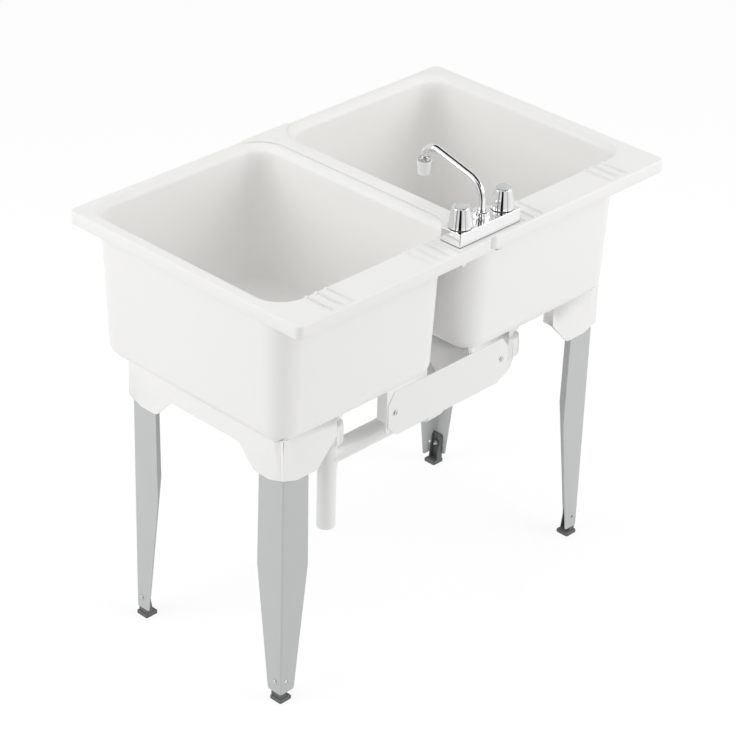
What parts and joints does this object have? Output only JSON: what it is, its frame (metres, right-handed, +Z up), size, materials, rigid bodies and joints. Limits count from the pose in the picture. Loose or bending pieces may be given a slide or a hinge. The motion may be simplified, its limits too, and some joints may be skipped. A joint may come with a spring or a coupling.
{
  "type": "utility laundry sink",
  "caption": "Twin-bowl laundry sink in moulded plastic on folded steel legs with levelling feet, a swivel-spout faucet on the ledge and joined waste pipes.",
  "frame": {"origin": "on the floor at the middle of the sink's footprint", "axes": "+X along the sink to the right bowl as the user sees it, +Y from the user to the faucet ledge, +Z up"},
  "size_m": [1.016, 0.625, 1.0475],
  "materials": {
    "white_plastic": "moulded white polypropylene, soft satin sheen",
    "plate_plastic": "white plastic sheet, satin",
    "leg_paint": "light grey powder coat on folded steel",
    "foot_plastic": "mid grey moulded plastic",
    "screw_steel": "zinc plated steel",
    "chrome_plating": "polished chrome plating",
    "brass_body": "cast and turned brass",
    "gasket_rubber": "black rubber",
    "outlet_ring": "dark grey ring",
    "outlet_white": "milky white plastic",
    "handle_cap": "glossy grey insert",
    "strainer_steel": "stainless steel strainer",
    "pvc_white": "white PVC"
  },
  "bodies": {
    "sink": {"right_tub": "white_plastic", "left_tub": "white_plastic", "joint_strip": "white_plastic", "tie_plate_rear": "plate_plastic", "tie_plate_front": "plate_plastic", "tie_screws": "screw_steel", "leg_rear_right": "leg_paint", "leg_rear_left": "leg_paint", "leg_front_right": "leg_paint", "leg_front_left": "leg_paint", "foot_bolts": "screw_steel", "foot_nuts": "screw_steel", "faucet_gasket": "gasket_rubber", "faucet_base": "chrome_plating", "waterway": "brass_body", "mounting_nuts": "pvc_white", "hot_cartridge": "brass_body", "cold_cartridge": "brass_body", "spout_nut": "chrome_plating", "right_drain_flange": "strainer_steel", "right_drain_gasket": "gasket_rubber", "right_drain_locknut": "pvc_white", "right_tailpiece": "pvc_white", "right_tailpiece_nut": "pvc_white", "right_slip_nut": "pvc_white", "left_drain_flange": "strainer_steel", "left_drain_gasket": "gasket_rubber", "left_drain_locknut": "pvc_white", "left_tailpiece": "pvc_white", "left_tailpiece_nut": "pvc_white", "left_slip_nut": "pvc_white", "arm_slip_nut": "pvc_white", "waste_tee": "pvc_white", "waste_arm": "pvc_white", "slip_washers": "gasket_rubber"},
    "foot_rear_right": {"foot_rear_right": "foot_plastic"},
    "foot_rear_left": {"foot_rear_left": "foot_plastic"},
    "foot_front_right": {"foot_front_right": "foot_plastic"},
    "foot_front_left": {"foot_front_left": "foot_plastic"},
    "spout": {"spout": "chrome_plating", "spout_ring": "outlet_ring", "spout_cap": "outlet_white"},
    "hot_handle": {"hot_stem": "brass_body", "hot_knob": "chrome_plating", "hot_knob_screw": "screw_steel", "hot_cap": "handle_cap"},
    "cold_handle": {"cold_stem": "brass_body", "cold_knob": "chrome_plating", "cold_knob_screw": "screw_steel", "cold_cap": "handle_cap"}
  },
  "joints": [
    {"name": "spout_swivel", "type": "hinge", "parent": "sink", "child": "spout", "pos_m": [0, 0.278, 0.93], "axis": [0, 0, 1], "range_deg": [-90, 90]},
    {"name": "hot_handle_turn", "type": "hinge", "parent": "sink", "child": "hot_handle", "pos_m": [-0.0582, 0.278, 0.9427], "axis": [0, 0, 1], "range_deg": [0, 90]},
    {"name": "cold_handle_turn", "type": "hinge", "parent": "sink", "child": "cold_handle", "pos_m": [0.0582, 0.278, 0.9427], "axis": [0, 0, 1], "range_deg": [0, 90]},
    {"name": "foot_rear_right_level", "type": "slide", "parent": "sink", "child": "foot_rear_right", "axis": [0, 0, 1], "range_m": [-0.01, 0.006]},
    {"name": "foot_rear_left_level", "type": "slide", "parent": "sink", "child": "foot_rear_left", "axis": [0, 0, 1], "range_m": [-0.01, 0.006]},
    {"name": "foot_front_right_level", "type": "slide", "parent": "sink", "child": "foot_front_right", "axis": [0, 0, 1], "range_m": [-0.01, 0.006]},
    {"name": "foot_front_left_level", "type": "slide", "parent": "sink", "child": "foot_front_left", "axis": [0, 0, 1], "range_m": [-0.01, 0.006]}
  ]
}
